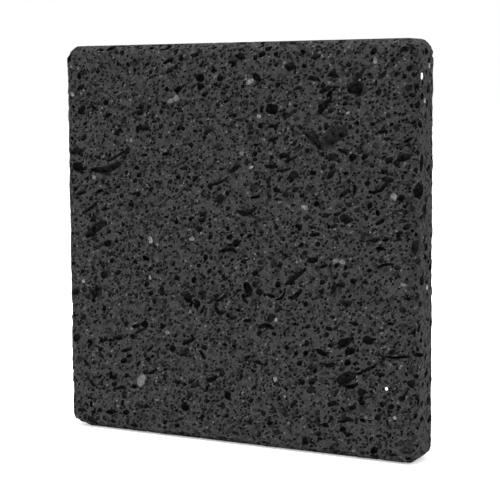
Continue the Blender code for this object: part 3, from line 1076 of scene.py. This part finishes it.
def sawn_basalt():
    """Dark grey, matt, mottled, with pale slivers, and with painted shade in pinhole dots and grazed-bubble
    spots.
    """
    material, tree, shader = new_material("sawn_and_tumbled_vesicular_basalt")
    place, drawn = flow_coordinates(tree)
    grain, pale = grains(tree, place, GRAIN)[:2]
    lath = grains(tree, drawn, LATH)[0]
    cloud = ramp(tree, noise_value(tree, place, CLOUD, 4.0, 0.7), 0.3, 0.7)
    patch = ramp(tree, noise_value(tree, place, PATCH, 2.0), 0.35, 0.65)
    rock = blend_colours(tree, grain, linear("#131313"), linear("#363637"))
    rock = blend_colours(tree, multiply(tree, cloud, 0.5), rock, linear("#303031"))
    rock = blend_colours(tree, multiply(tree, patch, 0.2), rock, linear("#1f1f21"))
    rock = blend_colours(tree, ramp(tree, pale, 0.98, 1.01), rock, linear("#606060"))
    rock = blend_colours(tree, ramp(tree, lath, 0.98, 1.01), rock, linear("#565654"))
    specks = add(tree, "ShaderNodeMath", {0: lath, 1: 0.1}, operation="LESS_THAN").outputs[0]
    rock = blend_colours(tree, multiply(tree, specks, 0.8), rock, linear("#050505"))
    # Painted shade: darker spots for the shallow dishes left by grazed bubbles, which are not modelled, with
    # their darker lining.
    dish_shade = dots(tree, drawn, DISH_CELL, DISH_RADIUS, 0.8)
    rock = blend_colours(tree, multiply(tree, dish_shade, 0.6), rock, linear("#0f0f0f"))
    # Painted shade: near-black pinhole dots, the shade of holes that are only dents in the bump, with their
    # dark lining.
    pinhole_dents_and_shade = dots(tree, drawn, PINHOLE_CELL, PINHOLE_RADIUS, 0.9)
    rock = blend_colours(tree, pinhole_dents_and_shade, rock, linear("#020202"))
    tree.links.new(rock, shader.inputs["Base Color"])
    rough = add(tree, "ShaderNodeMapRange", {0: grain, 3: 0.55, 4: 0.7}).outputs[0]
    tree.links.new(rough, shader.inputs["Roughness"])
    shader.inputs["IOR"].default_value = 1.5
    shader.inputs["Specular IOR Level"].default_value = 0.02
    relief = add(tree, "ShaderNodeMath", {0: pinhole_dents_and_shade, 1: -2.0, 2: cloud}, operation="MULTIPLY_ADD").outputs[0]
    bump = add(tree, "ShaderNodeBump", {"Height": relief, "Distance": 0.08 * MM, "Strength": 0.6})
    tree.links.new(bump.outputs[0], shader.inputs["Normal"])
    return material


# %% [markdown]
# ### Bubble walls
#
# The inside of a bubble was never sawn. It is the skin that the gas left in the melt,
# a little glassy and much darker than the dusty faces, partly its own dark colour and
# partly painted shade: the walls are drawn darker the deeper they lie under the skin,
# as shade falls in a hollow.


# %% Bubble walls
# Painted shade: a hollow's wall is drawn darker between these two depths under the skin.
LIP = 0.05 * MM  # depth at which a wall starts to darken
SHADE_DARKEST_DEPTH = 0.6 * MM  # depth at which it is darkest
WALL_MOTTLE = 0.9 * MM


def skin_depth(tree, place):
    """How deep a point lies under the block's skin: the distance to a rounded box."""
    core = [side / 2 - EDGE_RADIUS for side in SIZE]
    centred = add(tree, "ShaderNodeVectorMath", {0: place, 1: tuple(MIDDLE)}, operation="SUBTRACT").outputs[0]
    folded = add(tree, "ShaderNodeVectorMath", {0: centred}, operation="ABSOLUTE").outputs[0]
    past = add(tree, "ShaderNodeVectorMath", {0: folded, 1: tuple(core)}, operation="SUBTRACT").outputs[0]
    outside = add(tree, "ShaderNodeVectorMath", {0: past, 1: (0.0, 0.0, 0.0)}, operation="MAXIMUM").outputs[0]
    reach = add(tree, "ShaderNodeVectorMath", {0: outside}, operation="LENGTH").outputs["Value"]
    return add(tree, "ShaderNodeMath", {0: EDGE_RADIUS, 1: reach}, operation="SUBTRACT").outputs[0]


def hollow_wall(name, lips, depths, shine):
    """A wall with painted shade, darker from its lip down, uneven, each time between two greys."""
    material, tree, shader = new_material(name)
    place = add(tree, "ShaderNodeTexCoord").outputs["Object"]
    uneven = ramp(tree, noise_value(tree, place, WALL_MOTTLE, 3.0, 0.65), 0.38, 0.62)
    # Painted shade: darker the deeper the wall lies under the skin.
    painted_depth_shade = ramp(tree, skin_depth(tree, place), LIP, SHADE_DARKEST_DEPTH)
    lip = blend_colours(tree, uneven, *[linear(code) for code in lips])
    deep = blend_colours(tree, uneven, *[linear(code) for code in depths])
    tree.links.new(blend_colours(tree, painted_depth_shade, lip, deep), shader.inputs["Base Color"])
    shader.inputs["Roughness"].default_value = 0.7
    shader.inputs["IOR"].default_value = 1.5
    shader.inputs["Specular IOR Level"].default_value = shine
    bump = add(tree, "ShaderNodeBump", {"Height": uneven, "Distance": 0.08 * MM, "Strength": 0.5})
    tree.links.new(bump.outputs[0], shader.inputs["Normal"])
    return material


def torn_wall():
    """The rough floor of a torn cavity, which is open enough to hold a little dust."""
    return hollow_wall("torn_cavity_wall_with_painted_shade", ("#101010", "#1f1f20"), ("#080808", "#1b1b1c"), 0.06)


def bubble_wall():
    """The glassy skin inside a small bubble, drawn nearly black, partly with painted shade."""
    return hollow_wall("glassy_bubble_wall_with_painted_shade", ("#161616", "#282828"), ("#0a0a0a", "#1c1c1c"), 0.04)


# %% [markdown]
# ### Feldspar
#
# Plagioclase is white to pale grey and breaks along flat cleavage planes, so a sawn
# crystal is patchy: milky here, dark where one looks down a crack. Some of them are fresh
# and pale, and others are dulled by weathering.


# %% Feldspar
MILK = 0.7 * MM  # size of the milky patches in a crystal
FRESHNESS = 30.0 * MM  # distance over which crystals go from fresh to dull


def feldspar():
    """Milky pale grey with darker cracks."""
    material, tree, shader = new_material("sawn_plagioclase_feldspar")
    place = add(tree, "ShaderNodeTexCoord").outputs["Object"]
    milky = ramp(tree, noise_value(tree, place, MILK, 3.0, 0.7), 0.38, 0.62)
    fresh = ramp(tree, noise_value(tree, place, FRESHNESS, 0.0), 0.3, 0.6)
    milk = blend_colours(tree, fresh, linear("#3c3c3b"), linear("#5c5c5a"))
    colour = blend_colours(tree, milky, linear("#202020"), milk)
    tree.links.new(colour, shader.inputs["Base Color"])
    shader.inputs["Roughness"].default_value = 0.4
    shader.inputs["IOR"].default_value = 1.53
    bump = add(tree, "ShaderNodeBump", {"Height": milky, "Distance": 0.05 * MM, "Strength": 0.4})
    tree.links.new(bump.outputs[0], shader.inputs["Normal"])
    return material


# %% [markdown]
# ### Pure white spots
#
# Two small lumps are chalky white, the one pure white thing on the stone.


# %% Pure white spots
CHALK = 0.5 * MM


def white_spot_finish():
    """Chalky white."""
    material, tree, shader = new_material("chalky_pure_white")
    place = add(tree, "ShaderNodeTexCoord").outputs["Object"]
    chalk = ramp(tree, noise_value(tree, place, CHALK, 2.0), 0.3, 0.6)
    white = blend_colours(tree, chalk, linear("#c4c4c0"), linear("#f2f2ee"))
    tree.links.new(white, shader.inputs["Base Color"])
    shader.inputs["Roughness"].default_value = 0.8
    return material


# %% Dress the pieces
torn, glassy = torn_wall(), bubble_wall()
for piece, finish in ((stone, sawn_basalt()), (crystals, feldspar()), (white_spots, white_spot_finish())):
    piece.data.materials[FACE_SLOT] = finish
    piece.data.materials[TORN_SLOT] = torn
    piece.data.materials[BUBBLE_SLOT] = glassy

# %% [markdown]
# ### Studio floor
#
# A matt white sweep, faintly lit from within like a light table, so that nothing but a
# soft shadow shows under the stone.

# %% Floor
paper, _, paper_shader = new_material("white_backdrop_paper")
paper_shader.inputs["Base Color"].default_value = linear("#fafafa")
paper_shader.inputs["Roughness"].default_value = 0.9
paper_shader.inputs["Emission Color"].default_value = (1.0, 1.0, 1.0, 1.0)
paper_shader.inputs["Emission Strength"].default_value = 0.35
floor.data.materials.append(paper)

# %% [markdown]
# ## The one body
#
# All three pieces belong to the one body. The stone stands for the CAD slab, and the
# crystals and the white spots are set in it.

# %% Ride, replace and finish
for piece in (stone, crystals, white_spots):
    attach(piece, "root")
    print(piece.name, triangles(piece), "triangles")
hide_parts("basalt_slab")
